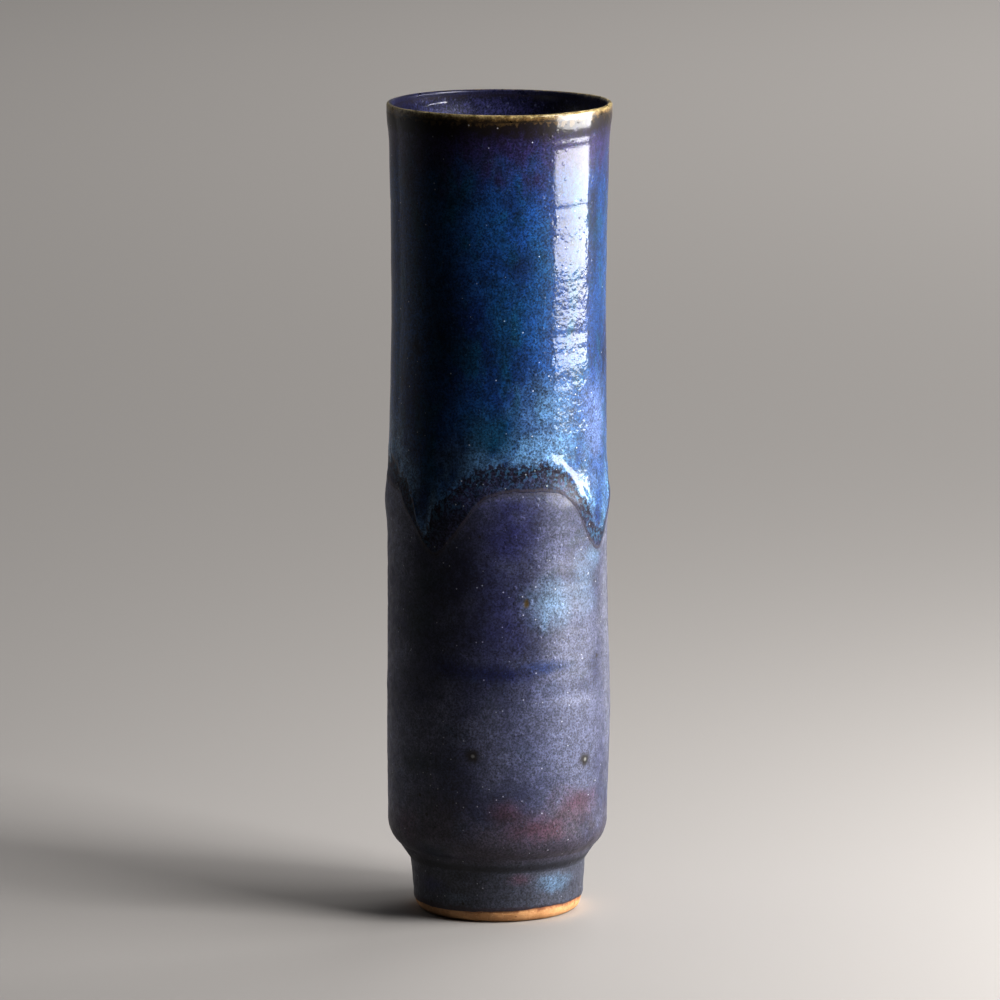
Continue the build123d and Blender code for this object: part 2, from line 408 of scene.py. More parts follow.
def make_rim_glaze():
    """The thin tan coat over the lip, with a plain hidden back just under it."""
    phi = angles[None, :]
    radius, height = lip_rings(0.0)
    outside = between(np.full_like(phi, RIM_LINE), np.full_like(phi, HEIGHT - LIP_ROUND), 5)[:-1]
    inside = between(np.full_like(phi, HEIGHT - LIP_ROUND), np.full_like(phi, RIM_LINE_INSIDE), 4)[1:]
    wave = 0.10 * wander(phi, 41, 2, 9, 0.8)
    tidy = np.sin(np.linspace(0, pi, len(radius)))[:, None]
    lip_radius = radius[:, None] + 0.04 * grid_noise(phi, height[:, None], 6, 42) * tidy
    lip_height = height[:, None] - (0.12 + wave) * tidy
    front = np.vstack([outer_surface(phi, outside), lip_radius, inside_radius(inside) + 0 * phi])
    front_height = np.vstack([outside, lip_height, inside])
    back_radius, back_height = lip_rings(0.25, 8)
    back = np.vstack([back_radius[::-1, None] + 0 * phi, np.full_like(phi, LIP_RADIUS - 0.3)])
    back_z = np.vstack([back_height[::-1, None] - 0.15 + 0 * phi, np.full_like(phi, RIM_LINE)])
    piece = turned("rim_film", np.vstack([front, back]), np.vstack([front_height, back_z]), COLUMNS)
    note_lines(piece)
    return piece


def make_liner_glaze():
    """The inside's glaze, from the middle of its floor up to the lip, and back down behind."""
    columns = 360
    phi = (np.arange(columns) * tau / columns)[None, :]
    centre = INSIDE_RADIUS - INSIDE_CORNER
    floor = np.linspace(1.0, centre, 16)[:, None]
    floor_height = INSIDE_FLOOR + 0.25 * np.cos(floor * tau / 9.0) * np.exp(-floor / 14)
    turn = np.linspace(0, pi / 2, 14)[1:, None]
    corner = centre + INSIDE_CORNER * np.sin(turn)
    corner_height = INSIDE_FLOOR + INSIDE_CORNER * (1 - np.cos(turn))
    wall_height = np.linspace(INSIDE_FLOOR + INSIDE_CORNER, RIM_LINE_INSIDE, 150)[1:, None]
    fade = 1 - step(wall_height, HEIGHT - 14, RIM_LINE_INSIDE)
    rings = 1.6 * throwing_rings(phi, wall_height, 9) + 0.05 * grid_noise(phi, wall_height, 9, 44)
    wall = inside_radius(wall_height) + rings * fade
    front = np.vstack([floor + 0 * phi, corner + 0 * phi, wall])
    front_z = np.vstack([floor_height + 0 * phi, corner_height + 0 * phi, wall_height + 0 * phi])
    back, back_z = front[::-6] + 0.35, front_z[::-6].copy()
    back_z[front_z[::-6] < INSIDE_FLOOR + INSIDE_CORNER] -= 0.35
    back[-1] = 1.0
    radius, height = np.vstack([front, back])[::-1], np.vstack([front_z, back_z])[::-1]
    return turned("inside_glaze", radius, height, columns, closed=False)


def clay_bevel(rows):
    """The bare foot's rounded edge from the glaze down to the table, as (radius, height) columns."""
    turn = np.linspace(0, pi / 2, rows)
    top = 5.6
    reach = FOOT_BOTTOM_RADIUS - 0.25 - CONTACT_RADIUS
    return CONTACT_RADIUS + reach * np.cos(turn) ** 0.8, top * (1 - np.sin(turn) ** 0.9)


def turning_marks(phi, travel, pitch, depth, seed):
    """Fine grooves left by the trimming tool, along a surface."""
    rough = grid_noise(phi, travel, 3.5, seed, 30)
    return depth * (np.sin(tau * travel / pitch + phi + 0.8 * rough) + 0.6 * rough)


def make_foot():
    """The foot ring: bevel, standing flat, bore and the hidden seat under the body."""
    columns = 360
    phi = (np.arange(columns) * tau / columns)[None, :]
    shelf = FOOT_BOTTOM_RADIUS - 0.55
    hidden_height = np.linspace(NECK_HEIGHT, 8.6, 6)[:, None]
    hidden = outer_radius(hidden_height) - 0.55
    bevel_rows = 18
    bevel, bevel_height = clay_bevel(bevel_rows)
    flat = np.linspace(CONTACT_RADIUS, FOOT_BORE + FOOT_BORE_ROUND, 6)[1:]
    turn = np.linspace(0, pi / 2, 6)[1:]
    bore_round = FOOT_BORE + FOOT_BORE_ROUND * (1 - np.sin(turn))
    bore_round_height = FOOT_BORE_ROUND * (1 - np.cos(turn))
    bore_height = np.linspace(FOOT_BORE_ROUND, BOSS_HEIGHT + 1.0, 20)[1:]
    bore = np.interp(bore_height, [FOOT_BORE_ROUND, BOSS_HEIGHT], [FOOT_BORE, BOSS_RADIUS])
    seat = np.linspace(BOSS_RADIUS, shelf + 0.6, 4)[1:-1]
    radius = np.concatenate([hidden[:, 0], [shelf], bevel, flat, bore_round, bore, [BOSS_RADIUS], seat])
    height = np.concatenate([hidden_height[:, 0], [5.9], bevel_height, 0 * flat, bore_round_height,
                             bore_height, np.full(1 + len(seat), NECK_HEIGHT)])

    # How much of the turning marks each ring shows.
    row = np.arange(bevel_rows)
    on_bevel = step(row, 0, 3) * (1 - step(row, 14, 17))
    shown = np.concatenate([np.zeros(1 + len(hidden)), on_bevel, np.zeros(len(flat)),
                            np.linspace(0, 1, len(bore_round)), np.ones(len(bore)), np.zeros(1 + len(seat))])
    radius, height, shown = radius[:, None], height[:, None], shown[:, None]
    relief = turning_marks(phi, height + radius, 1.3, 0.035, 51) + 0.09 * grid_noise(phi, height, 14, 52)
    return turned("clay_foot", (radius + relief * shown)[::-1], (height + 0 * phi)[::-1], columns)


def make_lower_clay():
    """The lower thrown section: turned underside, shoulder and wall up to the seam, inside and floor."""
    columns = 240
    phi = (np.arange(columns) * tau / columns)[None, :]
    under = np.linspace(1.0, BOSS_RADIUS - 0.4, 34)[:, None]
    spiral = 0.16 * np.sin(tau * under / 3.1 - phi) * step(under, 1, 5)
    under_height = BOSS_HEIGHT + 0.25 + spiral + 0.5 * np.exp(-((under / 3.2) ** 2))
    edge_height = np.array([[BOSS_HEIGHT + 0.6], [NECK_HEIGHT], [NECK_HEIGHT + 0.3]])
    edge = np.array([[BOSS_RADIUS], [BOSS_RADIUS], [FOOT_TOP_RADIUS - 0.9]])
    wall_height = level_heights(NECK_HEIGHT + 0.9, RIDGE_HEIGHT, 4.0)[:, None]
    wall = outer_radius(wall_height) - 0.75
    inner_height = np.linspace(RIDGE_HEIGHT, INSIDE_FLOOR + INSIDE_CORNER, 12)[:, None]
    inner = inside_radius(inner_height) + 0.6
    turn = np.linspace(pi / 2, 0, 8)[1:, None]
    corner = INSIDE_RADIUS - INSIDE_CORNER + (INSIDE_CORNER + 0.6) * np.sin(turn)
    corner_height = INSIDE_FLOOR + INSIDE_CORNER - (INSIDE_CORNER + 0.6) * np.cos(turn)
    last = np.array([[1.0]])
    parts = [(under, under_height), (edge, edge_height), (wall, wall_height), (inner, inner_height),
             (corner, corner_height), (last, last * 0 + INSIDE_FLOOR - 0.6)]
    radius = np.vstack([part + 0 * phi for part, _ in parts])
    height = np.vstack([part + 0 * phi for _, part in parts])
    return turned("clay_lower_section", radius, height, columns, closed=False)


def make_upper_clay():
    """The upper thrown section, from the seam up to the lip, all of it under glaze."""
    columns = 240
    phi = (np.arange(columns) * tau / columns)[None, :]
    wall_height = np.linspace(RIDGE_HEIGHT, RIM_LINE - 1, 30)[:, None]
    wall = outer_radius(wall_height) - 0.75
    lip, lip_height = (side[:, None] for side in lip_rings(0.5, 8))
    inner_height = np.linspace(RIM_LINE_INSIDE - 1, RIDGE_HEIGHT, 20)[:, None]
    inner = inside_radius(inner_height) + np.minimum(0.6, 0.45 + (HEIGHT - inner_height) / 100)
    radius = np.vstack([wall, lip, inner]) + 0 * phi
    height = np.vstack([wall_height, lip_height - 0.2, inner_height]) + 0 * phi
    return turned("clay_upper_section", radius, height, columns)


# ---------------------------------------------------------------- materials
class Finish:
    """A procedural material. Places inside it are in the object's own coordinates, in millimetres."""

    def __init__(self, name, **fixed):
        self.material = bpy.data.materials.new(name)
        self.material.use_nodes = True
        self.nodes = self.material.node_tree.nodes
        self.links = self.material.node_tree.links
        self.shader = self.nodes["Principled BSDF"]
        for socket, value in fixed.items():
            self.shader.inputs[socket.replace("_", " ")].default_value = value
        coordinates = self.nodes.new("ShaderNodeTexCoord")
        self.place = self.vector("MULTIPLY", coordinates.outputs["Object"], (1 / MM, 1 / MM, 1 / MM))

    def put(self, socket, value):
        if isinstance(value, bpy.types.NodeSocket):
            self.links.new(value, socket)
        else:
            socket.default_value = value

    def vector(self, operation, a, b):
        node = self.nodes.new("ShaderNodeVectorMath")
        node.operation = operation
        self.put(node.inputs[0], a)
        self.put(node.inputs[1], b)
        return node.outputs["Value" if operation == "DISTANCE" else "Vector"]

    def math(self, operation, a, b=0.0):
        node = self.nodes.new("ShaderNodeMath")
        node.operation = operation
        self.put(node.inputs[0], a)
        self.put(node.inputs[1], b)
        return node.outputs[0]

    def noise(self, size, seed, detail=2.0, roughness=0.5, stretch=1.0, warp=0.0, colour=False):
        """Noise with features of a size in millimetres, stretched up the vase by a factor."""
        node = self.nodes.new("ShaderNodeTexNoise")
        place = self.vector("MULTIPLY", self.place, (1, 1, 1 / stretch))
        place = self.vector("ADD", place, (seed * 37.1, seed * 11.3, seed * 5.7))
        self.put(node.inputs["Vector"], place)
        node.inputs["Scale"].default_value = 1.0 / size
        node.inputs["Detail"].default_value = detail
        node.inputs["Roughness"].default_value = roughness
        node.inputs["Distortion"].default_value = warp
        return node.outputs["Color" if colour else "Fac"]

    def over(self, value, low, high, bottom=0.0, top=1.0):
        """Goes smoothly from bottom to top as value goes from low to high."""
        node = self.nodes.new("ShaderNodeMapRange")
        node.interpolation_type = "SMOOTHSTEP"
        for name, number in zip(("From Min", "From Max", "To Min", "To Max"), (low, high, bottom, top)):
            node.inputs[name].default_value = number
        self.put(node.inputs["Value"], value)
        return node.outputs["Result"]

    def mix(self, factor, a, b):
        node = self.nodes.new("ShaderNodeMix")
        node.data_type = "RGBA"
        self.put(node.inputs["Factor"], factor)
        sockets = [socket for socket in node.inputs if socket.type == "RGBA"]
        for socket, colour in zip(sockets, (a, b)):
            self.put(socket, (*colour, 1.0) if isinstance(colour, tuple) else colour)
        return [socket for socket in node.outputs if socket.type == "RGBA"][0]

    def scale(self, colour, factor):
        """Brightens or darkens a colour."""
        node = self.nodes.new("ShaderNodeVectorMath")
        node.operation = "SCALE"
        self.put(node.inputs[0], colour)
        self.put(node.inputs["Scale"], factor)
        return node.outputs["Vector"]

    def line_height(self, name):
        """Millimetres above one of the glaze lines."""
        node = self.nodes.new("ShaderNodeAttribute")
        node.attribute_name = name
        return node.outputs["Fac"]

    def height(self):
        node = self.nodes.new("ShaderNodeSeparateXYZ")
        self.put(node.inputs[0], self.place)
        return node.outputs["Z"]

    def ragged(self, value, size, reach, seed, stretch=1.0):
        """A value in millimetres pushed up and down by noise, so that a line drawn at it is ragged."""
        push = self.over(self.noise(size, seed, 4.0, 0.65, stretch=stretch), 0.2, 0.8, -reach, reach)
        return self.math("ADD", value, push)

    def spots(self, spacing, size, share, seed):
        """1 inside small round spots. Spacing and size are in millimetres, share is how many are kept."""
        node = self.nodes.new("ShaderNodeTexVoronoi")
        place = self.vector("ADD", self.place, (seed * 17.3, seed * 7.9, seed * 3.1))
        self.put(node.inputs["Vector"], place)
        node.inputs["Scale"].default_value = 1.0 / spacing
        inside = self.over(node.outputs["Distance"], size / spacing, 0.6 * size / spacing)
        chance = self.nodes.new("ShaderNodeSeparateXYZ")
        self.put(chance.inputs[0], node.outputs["Color"])
        return self.math("MULTIPLY", inside, self.math("LESS_THAN", chance.outputs["X"], share))

    def patch(self, angle, height, width, tall, softness=1.0, fray=0.35, seed=1.0):
        """A soft frayed patch on the wall, sized in millimetres: 1 in its middle and 0 outside."""
        turn = radians(angle)
        radius = float(outer_radius(np.array(height)))
        centre = (radius * sin(turn), -radius * cos(turn), height)
        shift = self.noise(max(2.5, min(width, tall) * 0.35), seed, 4.0, 0.65, colour=True)
        shift = self.vector("SUBTRACT", shift, (0.5, 0.5, 0.5))
        shift = self.vector("MULTIPLY", shift, (1.6 * fray * width, 1.6 * fray * width, 1.6 * fray * tall))
        place = self.vector("SUBTRACT", self.vector("ADD", self.place, shift), centre)
        place = self.vector("MULTIPLY", place, (2 / width, 2 / width, 2 / tall))
        away = self.vector("DISTANCE", place, (0, 0, 0))
        return self.over(away, 1.0 + 0.1 * softness, max(0.0, 1.0 - softness))

    def paint(self, colour, patches):
        """Lays patches over a colour: each is (colour, strength, angle, height, width, tall)."""
        for seed, (tint, strength, *place) in enumerate(patches):
            cover = self.math("MULTIPLY", self.patch(*place, seed=1.0 + seed), strength)
            colour = self.mix(cover, colour, tint)
        return colour

    def grained(self, colour, seed, fine=0.75, strength=1.0):
        """Breaks a colour into the fine speckle and coarser mottle of a reduction glaze."""
        coarse = self.noise(3.0, seed, 4.0, 0.62)
        grain = self.noise(fine, seed + 1, 2.0, 0.7)
        colour = self.scale(colour, self.over(coarse, 0.30, 0.72, 1 - 0.3 * strength, 1 + 0.4 * strength))
        return self.scale(colour, self.over(grain, 0.32, 0.68, 1 - 0.7 * strength, 1 + 0.95 * strength))

    def bump(self, *layers):
        """Stacks fine reliefs: each is (height from 0 to 1, depth in millimetres)."""
        normal = None
        for value, depth in layers:
            node = self.nodes.new("ShaderNodeBump")
            node.inputs["Distance"].default_value = depth * MM
            node.inputs["Strength"].default_value = 1.0
            self.put(node.inputs["Height"], value)
            if normal is not None:
                self.put(node.inputs["Normal"], normal)
            normal = node.outputs["Normal"]
        self.put(self.shader.inputs["Normal"], normal)
        self.put(self.shader.inputs["Coat Normal"], normal)

    def finish(self, colour, roughness):
        self.put(self.shader.inputs["Base Color"], colour)
        self.put(self.shader.inputs["Roughness"], roughness)
        return self.material


# The glazes' colours.
NAVY = (0.0025, 0.0065, 0.024)
ULTRAMARINE = (0.005, 0.019, 0.080)
COBALT = (0.009, 0.045, 0.132)
TEAL = (0.004, 0.042, 0.080)
POWDER = (0.085, 0.160, 0.255)
CORNFLOWER = (0.095, 0.130, 0.240)
PURPLE = (0.022, 0.012, 0.045)
AUBERGINE = (0.013, 0.008, 0.016)
IRON = (0.010, 0.006, 0.004)
OCHRE = (0.11, 0.070, 0.026)
TAN = (0.30, 0.24, 0.13)
PLUM = (0.062, 0.028, 0.044)
MAUVE = (0.064, 0.068, 0.107)
VIOLET = (0.018, 0.019, 0.070)
MIDNIGHT = (0.006, 0.006, 0.020)
INDIGO = (0.007, 0.010, 0.050)
# Lavender, partly the glaze's own colour and partly a painted sheen.
LAVENDER_AND_SHEEN = (0.098, 0.101, 0.127)
PERIWINKLE = (0.084, 0.092, 0.153)
BLOOM = (0.095, 0.150, 0.220)
SLATE = (0.016, 0.024, 0.038)
# A pale grey for painted glints on the glaze's pits.
PAINTED_GLINT_GREY = (0.42, 0.43, 0.46)

# Clouds of colour in the two coats, laid one over another: (colour, strength, angle, height, width, tall).
UPPER_CLOUDS = [
    (COBALT, 0.8, 22, 226, 22, 70), (POWDER, 0.8, 22, 178, 26, 17), (TEAL, 0.9, -6, 183, 32, 26),
    (TEAL, 0.6, 2, 222, 18, 50), (POWDER, 0.55, 26, 192, 34, 30), (CORNFLOWER, 0.8, 64, 184, 26, 50),
    (NAVY, 0.5, 60, 252, 12, 44), (NAVY, 0.8, -28, 222, 26, 70), (NAVY, 0.6, -22, 172, 22, 26),
    (PURPLE, 0.6, 60, 283, 20, 18), (COBALT, 0.8, 22, 262, 14, 30), (NAVY, 0.6, 12, 244, 16, 16),
    (ULTRAMARINE, 0.9, -41, 158, 9, 26), (POWDER, 0.7, 168, 186, 34, 26), (TEAL, 0.7, 205, 215, 40, 60),
    (NAVY, 0.7, 262, 232, 40, 80), (POWDER, 0.5, 122, 205, 24, 60), (COBALT, 0.6, 230, 250, 24, 50),
    (CORNFLOWER, 0.5, 110, 262, 30, 60),
]
LOWER_CLOUDS = [
    # The first cloud, lavender on the lit right side, is partly glaze colour and partly the key softbox's
    # sheen painted in.
    (LAVENDER_AND_SHEEN, 0.9, 80, 112, 26, 150), (PERIWINKLE, 0.6, 24, 76, 40, 70),
    (PERIWINKLE, 0.7, 28, 140, 22, 15), (VIOLET, 0.95, 4, 146, 40, 34), (VIOLET, 0.65, 0, 116, 32, 44),
    (MIDNIGHT, 0.9, -20, 128, 32, 76), (MAUVE, 0.8, 33, 148, 24, 15), (VIOLET, 0.6, 12, 157, 44, 9),
    (BLOOM, 0.40, 52, 126, 20, 36), (BLOOM, 0.75, 29, 120, 25, 24), (BLOOM, 0.7, 62, 136, 14, 12),
    (BLOOM, 0.6, 25, 115, 5, 12), (INDIGO, 0.95, 0, 95, 38, 10), (ULTRAMARINE, 0.85, 26, 97, 26, 7),
    (INDIGO, 0.8, -26, 97, 30, 11), (SLATE, 0.85, -46, 112, 18, 26), (SLATE, 0.7, -40, 128, 20, 16),
    (MAUVE, 0.6, 40, 106, 30, 10), (MAUVE, 0.8, 34, 76, 54, 22), (PLUM, 0.85, 45, 45, 34, 17),
    (PLUM, 0.9, 22, 37, 34, 15), (PLUM, 0.7, 4, 44, 20, 11), (PLUM, 0.6, -57, 37, 18, 16),
    (SLATE, 0.7, -46, 60, 28, 14), (SLATE, 0.8, -40, 27, 24, 10), (IRON, 0.45, 3, 42, 14, 7),
    (BLOOM, 0.75, 41, 14, 22, 10), (PLUM, 0.7, 14, 16.5, 12, 6), (VIOLET, 0.7, -50, 12.5, 22, 8),
    (BLOOM, 0.25, -30, 9, 18, 6), (BLOOM, 0.8, 152, 124, 40, 24), (VIOLET, 0.85, 196, 142, 44, 34),
    (PLUM, 0.8, 226, 42, 44, 22), (VIOLET, 0.8, 172, 90, 52, 11), (SLATE, 0.8, 256, 100, 36, 34),
    (BLOOM, 0.5, 118, 82, 26, 18), (PLUM, 0.7, 112, 40, 30, 18), (BLOOM, 0.6, 192, 13, 30, 9),
]


def upper_glaze_finish():
    """Deep glossy blue, broken with teal, paler where it pools above its roll and brown at the lip."""
    f = Finish("upper_glaze", IOR=1.5, Specular_IOR_Level=0.22, Coat_Weight=0.48, Coat_Roughness=0.045,
               Coat_IOR=1.46)
    above = f.line_height("above_upper_line")
    height = f.height()
    colour = f.mix(f.over(f.noise(30, 1, 3.0, 0.55, stretch=1.6), 0.36, 0.64), ULTRAMARINE, COBALT)
    colour = f.mix(f.over(f.noise(9, 2, 4.0, 0.6, stretch=2.4, warp=0.4), 0.47, 0.68, 0, 0.8), colour, TEAL)
    colour = f.mix(f.over(f.noise(13, 6, 4.0, 0.6, stretch=1.5), 0.52, 0.72, 0, 0.75), colour, NAVY)
    pool = f.math("MULTIPLY", f.over(above, 26, 5), f.over(f.noise(8, 7, 4.0, 0.6, stretch=1.6), 0.34, 0.6))
    colour = f.mix(f.math("MULTIPLY", pool, 0.8), colour, POWDER)
    colour = f.paint(colour, UPPER_CLOUDS)
    top = f.ragged(height, 7, 9, 8, stretch=2.0)
    colour = f.mix(f.over(top, 268, 288, 0, 0.85), colour, PURPLE)
    colour = f.grained(colour, 3, strength=0.8)
    crystals = f.over(f.noise(1.1, 4, 3.0, 0.65), 0.60, 0.72, 0, 0.6)
    colour = f.mix(crystals, colour, (0.050, 0.110, 0.190))
    colour = f.mix(f.over(f.noise(1.5, 5, 3.0, 0.7), 0.42, 0.33, 0, 0.65), colour, (0.001, 0.003, 0.012))
    fringe = f.ragged(above, 1.4, 3.6, 9, stretch=1.6)
    colour = f.mix(f.over(fringe, 1.8, -0.6, 0, 0.9), colour, f.grained(AUBERGINE, 15))
    rim = f.ragged(height, 2.2, 2.6, 10, stretch=1.5)
    colour = f.mix(f.over(rim, HEIGHT - 12.0, HEIGHT - 5.0, 0, 0.95), colour, IRON)
    colour = f.mix(f.over(rim, HEIGHT - 3.9, HEIGHT - 2.6, 0, 0.6), colour, OCHRE)
    # Pale specks: painted glints on the glaze's pits.
    colour = f.mix(f.spots(3.2, 0.34, 0.35, 1), colour, PAINTED_GLINT_GREY)
    rough = f.over(f.noise(16, 16, 2.0), 0.35, 0.60, 0.35, 1.0)
    dimpled = f.over(f.ragged(height, 8, 8, 14), 272, 250, 0.15, 1.0)
    dimples = f.math("MULTIPLY", f.noise(1.5, 13, 1.0, 0.4), dimpled)
    f.bump((f.math("MULTIPLY", f.noise(0.8, 12, 2.0, 0.5), rough), 0.028), (dimples, 0.052),
           (f.spots(2.6, 0.75, 0.4, 6), 0.05))
    return f.finish(colour, 0.45)


def overlap_finish():
    """Where the coats overlap: dark aubergine under the roll, taupe below, speckled with blue crystals."""
    f = Finish("overlap_glaze", IOR=1.5, Specular_IOR_Level=0.2, Coat_Weight=0.08, Coat_Roughness=0.25,
               Coat_IOR=1.5)
    above = f.line_height("above_lower_line")
    under_roll = f.ragged(f.line_height("above_upper_line"), 1.8, 2.6, 22)
    colour = f.mix(f.over(f.noise(6, 21, 3.0, 0.6), 0.4, 0.6), (0.015, 0.017, 0.040), (0.028, 0.028, 0.058))
    colour = f.mix(f.over(under_roll, -5.5, -1.5, 0, 0.8), colour, AUBERGINE)
    colour = f.grained(colour, 23)
    crystals = f.over(f.noise(1.5, 24, 3.0, 0.65), 0.47, 0.63)
    blue = f.math("MULTIPLY", crystals, f.over(under_roll, -9, -1, 0.25, 1.0))
    colour = f.mix(blue, colour, (0.035, 0.090, 0.155))
    colour = f.mix(f.over(f.noise(1.3, 25, 2.0), 0.42, 0.32, 0, 0.8), colour, (0.003, 0.003, 0.006))
    colour = f.mix(f.spots(2.6, 0.38, 0.45, 5), colour, (0.24, 0.26, 0.26))
    line = f.math("MULTIPLY", f.over(above, 1.7, 1.0), f.over(above, 0.0, 0.5))
    colour = f.mix(f.math("MULTIPLY", line, 0.55), colour, (0.075, 0.062, 0.066))
    f.bump((f.noise(1.1, 26, 2.0, 0.6), 0.06), (f.noise(2.6, 27, 2.0, 0.5), 0.06))
    return f.finish(colour, 0.45)


def lower_glaze_finish():
    """Satin violet and mauve, clouded with plum and slate, with a pale bloom and a dark brushed swirl."""
    f = Finish("lower_glaze", IOR=1.5)
    below = f.line_height("above_lower_line")
    height = f.height()
    colour = f.mix(f.over(f.noise(26, 31, 4.0, 0.6), 0.38, 0.62), (0.028, 0.030, 0.060), MAUVE)
    colour = f.mix(f.over(f.noise(12, 32, 4.0, 0.62), 0.54, 0.70, 0, 0.65), colour, (0.024, 0.034, 0.056))
    colour = f.mix(f.over(f.ragged(height, 14, 12, 37), 50, 28, 0, 0.7), colour, (0.040, 0.030, 0.038))
    colour = f.mix(f.over(height, 27, 20, 0, 0.6), colour, (0.034, 0.042, 0.058))
    colour = f.paint(colour, LOWER_CLOUDS)
    colour = f.grained(colour, 33, strength=0.7)
    crystals = f.over(f.noise(0.9, 38, 2.0, 0.6), 0.62, 0.76, 0, 0.45)
    colour = f.mix(crystals, colour, (0.085, 0.130, 0.215))
    colour = f.mix(f.over(f.noise(1.3, 39, 3.0, 0.7), 0.40, 0.30, 0, 0.75), colour, (0.005, 0.005, 0.012))
    # Pale specks: painted glints on the glaze's pits.
    colour = f.mix(f.math("MULTIPLY", f.spots(2.4, 0.34, 0.25, 2), 0.7), colour, PAINTED_GLINT_GREY)
    colour = f.mix(f.spots(11.0, 0.85, 0.55, 3), colour, IRON)
    for angle, spot_height in IRON_SPOTS:
        colour = f.mix(f.patch(angle, spot_height, 7.5, 7.5, 0.8, 0.2), colour, IRON)
        colour = f.mix(f.patch(angle, spot_height, 1.9, 1.9, 0.7, 0.1), colour, (0.16, 0.16, 0.15))
    colour = f.mix(f.patch(*OCHRE_PIT, 2.6, 4.6, 0.7, 0.2), colour, (0.060, 0.038, 0.010))
    # Painted shade: darker just under the lower glaze line, where the ridge's upper slope catches light.
    colour = f.mix(f.over(below, -1.6, -0.1, 0, 0.5), colour, (0.040, 0.033, 0.040))
    # Painted shade: near black in the crease where the shoulder's underside meets the foot.
    neck_painted_shade = f.math("MULTIPLY", f.over(height, 18.8, 20.4), f.over(height, 23.4, 21.2))
    colour = f.mix(f.math("MULTIPLY", neck_painted_shade, 0.75), colour, (0.006, 0.006, 0.010))
    edge = f.over(f.ragged(height, 3.0, 0.7, 40), 6.4, 5.2, 0, 0.7)
    colour = f.mix(edge, colour, (0.030, 0.014, 0.018))
    f.bump((f.noise(0.9, 35, 2.0, 0.6), 0.05), (f.noise(2.8, 36, 2.0, 0.5), 0.06),
           (f.spots(3.0, 0.8, 0.5, 7), 0.07))
    return f.finish(colour, f.over(f.noise(3.0, 34, 3.0), 0.3, 0.7, 0.36, 0.50))


def rim_finish():
    """Tan and iron brown, where the glaze breaks over the lip."""
    f = Finish("rim_glaze", IOR=1.5, Specular_IOR_Level=0.3, Coat_Weight=0.45, Coat_Roughness=0.12,
               Coat_IOR=1.5)
    height = f.height()
    patchy = f.noise(4.0, 41, 4.0, 0.65)
    colour = f.mix(f.over(patchy, 0.35, 0.65), (0.15, 0.115, 0.050), TAN)
    edge = f.ragged(height, 2.2, 0.8, 44)
    colour = f.mix(f.over(edge, HEIGHT - 0.6, HEIGHT - 1.7), colour, OCHRE)
    colour = f.mix(f.over(edge, HEIGHT - 1.6, HEIGHT - 2.8, 0, 0.95), colour, IRON)
    from_axis = f.vector("DISTANCE", f.vector("MULTIPLY", f.place, (1, 1, 0)), (0, 0, 0))
    crest = LIP_RADIUS - LIP_ROUND
    within = f.over(f.ragged(from_axis, 2.5, 0.35, 45), crest, crest - 0.7 * LIP_ROUND)
    colour = f.mix(within, colour, (0.018, 0.018, 0.045))
    colour = f.grained(colour, 42, strength=0.5)
    f.bump((f.noise(1.2, 43, 2.0, 0.5), 0.04))
    return f.finish(colour, f.over(patchy, 0.3, 0.7, 0.26, 0.38))


def liner_finish():
    """Glossy blue violet inside, clouded with brown black and browner where it thins at the lip."""
    f = Finish("liner_glaze", IOR=1.5, Specular_IOR_Level=0.2, Coat_Weight=1.0, Coat_Roughness=0.05,
               Coat_IOR=1.46)
    height = f.height()
    colour = f.mix(f.over(f.noise(18, 52, 3.0), 0.38, 0.62), (0.010, 0.010, 0.034), (0.026, 0.027, 0.070))
    colour = f.mix(f.over(f.noise(9, 56, 4.0, 0.6), 0.52, 0.66, 0, 0.7), colour, (0.010, 0.009, 0.012))
    colour = f.grained(colour, 50)
    colour = f.mix(f.over(f.noise(1.2, 51, 2.0, 0.6), 0.60, 0.72, 0, 0.6), colour, (0.13, 0.14, 0.22))
    edge = f.ragged(height, 2.0, 1.2, 53)
    colour = f.mix(f.over(edge, HEIGHT - 4.0, HEIGHT - 2.4, 0, 0.5), colour, (0.030, 0.022, 0.018))
    f.bump((f.noise(1.2, 54, 2.0, 0.5), 0.02), (f.noise(3.2, 55, 1.0, 0.4), 0.03))
    return f.finish(colour, 0.35)


def clay_finish():
    """Bare toasted stoneware: orange tan with iron specks, darker where the glaze meets it."""
    f = Finish("bare_clay", IOR=1.45)
    height = f.height()
    colour = f.mix(f.over(f.noise(9, 61, 3.0, 0.6), 0.35, 0.65), (0.40, 0.220, 0.100), (0.50, 0.295, 0.145))
    colour = f.mix(f.over(f.noise(1.3, 62, 4.0, 0.7), 0.45, 0.28, 0, 0.6), colour, (0.26, 0.12, 0.05))
    colour = f.mix(f.over(f.noise(0.7, 63, 2.0), 0.58, 0.72, 0, 0.5), colour, (0.62, 0.42, 0.24))
    colour = f.mix(f.spots(3.2, 0.35, 0.8, 4), colour, (0.09, 0.045, 0.025))
    toasted = f.over(f.ragged(height, 3.0, 0.8, 64), 3.4, 5.2, 0, 0.8)
    colour = f.mix(toasted, colour, (0.16, 0.055, 0.028))
    f.bump((f.noise(0.5, 65, 3.0, 0.6), 0.05), (f.noise(1.6, 66, 2.0, 0.5), 0.06))
    return f.finish(colour, f.over(f.noise(2.0, 67, 2.0), 0.3, 0.7, 0.62, 0.85))


# ---------------------------------------------------------------- the object
vase = bpy.data.collections.new("vase")  # the pieces, for the light that falls on them alone


def place(piece, material, slot, *nodes):
    """Puts a piece on the vase's one body, in the stead of the clay or glaze nodes it shows."""
    piece.data.materials.append(material)
    vase.objects.link(piece)
    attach(piece, "root")
    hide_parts(*nodes)


